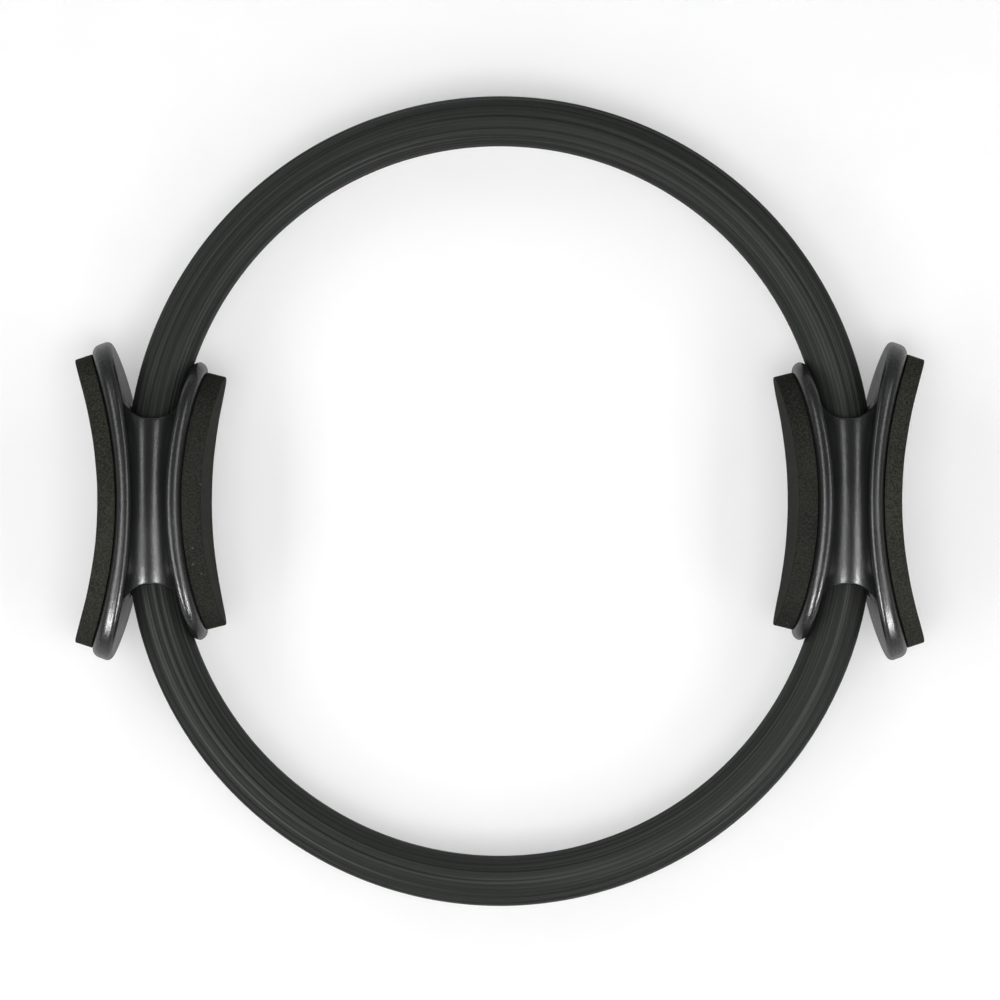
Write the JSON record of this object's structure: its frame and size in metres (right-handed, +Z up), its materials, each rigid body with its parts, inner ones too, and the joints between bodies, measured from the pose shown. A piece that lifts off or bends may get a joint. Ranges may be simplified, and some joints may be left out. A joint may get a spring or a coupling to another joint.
{
  "type": "pilates ring",
  "caption": "Springy exercise hoop: foam-sleeved arcs join waisted handles with oval foam pads inside and out. It is squeezed or pulled apart, and springs back.",
  "frame": {"origin": "centre of the overall box, which is the hoop's centre", "axes": "+X from the left handle to the right one, +Y towards the upper arc, +Z up out of the hoop's plane"},
  "size_m": [0.3736, 0.3562, 0.066],
  "materials": {
    "handle": "glossy black moulding",
    "outer_pad": "matte closed cell foam",
    "inner_pad": "matte closed cell foam",
    "sleeve": "matte ribbed foam",
    "band": "bare glass fibre",
    "spacer": "matte",
    "screw": "zinc plated"
  },
  "bodies": {
    "left_grip": {"left_handle": "handle", "left_outer_pad": "outer_pad", "left_inner_pad": "inner_pad", "left_upper_spacer": "spacer", "left_lower_spacer": "spacer", "left_upper_screws": "screw", "left_lower_screws": "screw"},
    "upper_arc": {"upper_sleeve": "sleeve", "upper_outer_band": "band", "upper_inner_band": "band"},
    "right_grip": {"right_handle": "handle", "right_outer_pad": "outer_pad", "right_inner_pad": "inner_pad", "right_upper_spacer": "spacer", "right_lower_spacer": "spacer", "right_upper_screws": "screw", "right_lower_screws": "screw"},
    "lower_arc": {"lower_sleeve": "sleeve"},
    "lower_springs": {"lower_outer_band": "band", "lower_inner_band": "band"}
  },
  "joints": [
    {"name": "upper_left_flex", "type": "slide", "parent": "left_grip", "child": "upper_arc", "axis": [-0.7641, 0.6451, 0], "range_m": [-0.02, 0.059], "stiffness_N_per_m": 800, "deforming": ["upper_sleeve", "upper_outer_band", "upper_inner_band"]},
    {"name": "upper_right_flex", "type": "slide", "parent": "upper_arc", "child": "right_grip", "axis": [-0.7641, -0.6451, 0], "range_m": [-0.02, 0.059], "stiffness_N_per_m": 800},
    {"name": "lower_right_flex", "type": "slide", "parent": "right_grip", "child": "lower_arc", "axis": [0.7641, -0.6451, 0], "range_m": [-0.02, 0.059], "stiffness_N_per_m": 800, "deforming": ["lower_sleeve"]},
    {"name": "lower_left_flex", "type": "slide", "parent": "left_grip", "child": "lower_springs", "axis": [-0.7641, -0.6451, 0], "range_m": [-0.02, 0.059], "stiffness_N_per_m": 800, "deforming": ["lower_outer_band", "lower_inner_band"]}
  ],
  "couplings": [
    {"joint": "upper_right_flex", "follows": "upper_left_flex", "ratio": 1},
    {"joint": "lower_right_flex", "follows": "upper_left_flex", "ratio": 1},
    {"joint": "lower_left_flex", "follows": "upper_left_flex", "ratio": 1}
  ]
}
